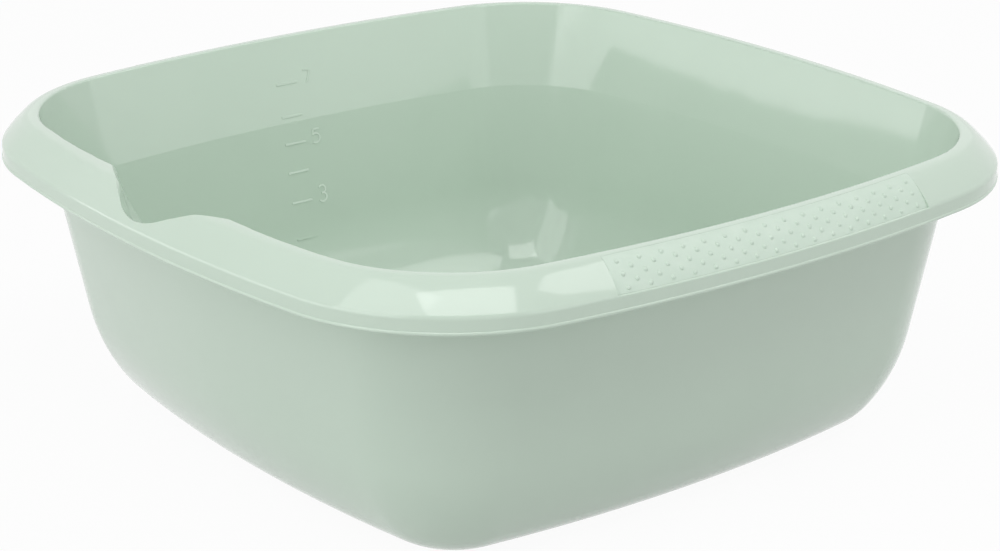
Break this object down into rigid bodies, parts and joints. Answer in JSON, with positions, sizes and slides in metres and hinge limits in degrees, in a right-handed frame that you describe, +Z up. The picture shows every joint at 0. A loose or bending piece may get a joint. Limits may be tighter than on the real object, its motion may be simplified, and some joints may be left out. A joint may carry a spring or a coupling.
{
  "type": "washing up bowl",
  "caption": "Square plastic washing up bowl with bowed sides, rounded corners, a rolled rim with a pouring lip, dotted soft grips and a raised litre scale inside.",
  "frame": {"origin": "middle of the base, on the surface the bowl stands on", "axes": "+Z up, pouring lip on the -Y side, soft grips on the +X and -X sides, litre scale inside the -X wall"},
  "size_m": [0.3362, 0.3362, 0.124],
  "materials": {
    "bowl": "glossy pale mint polypropylene",
    "grip": "matt pale mint soft touch"
  },
  "bodies": {
    "root": {"bowl_moulding": "bowl", "right_grip": "grip", "left_grip": "grip"}
  },
  "joints": []
}
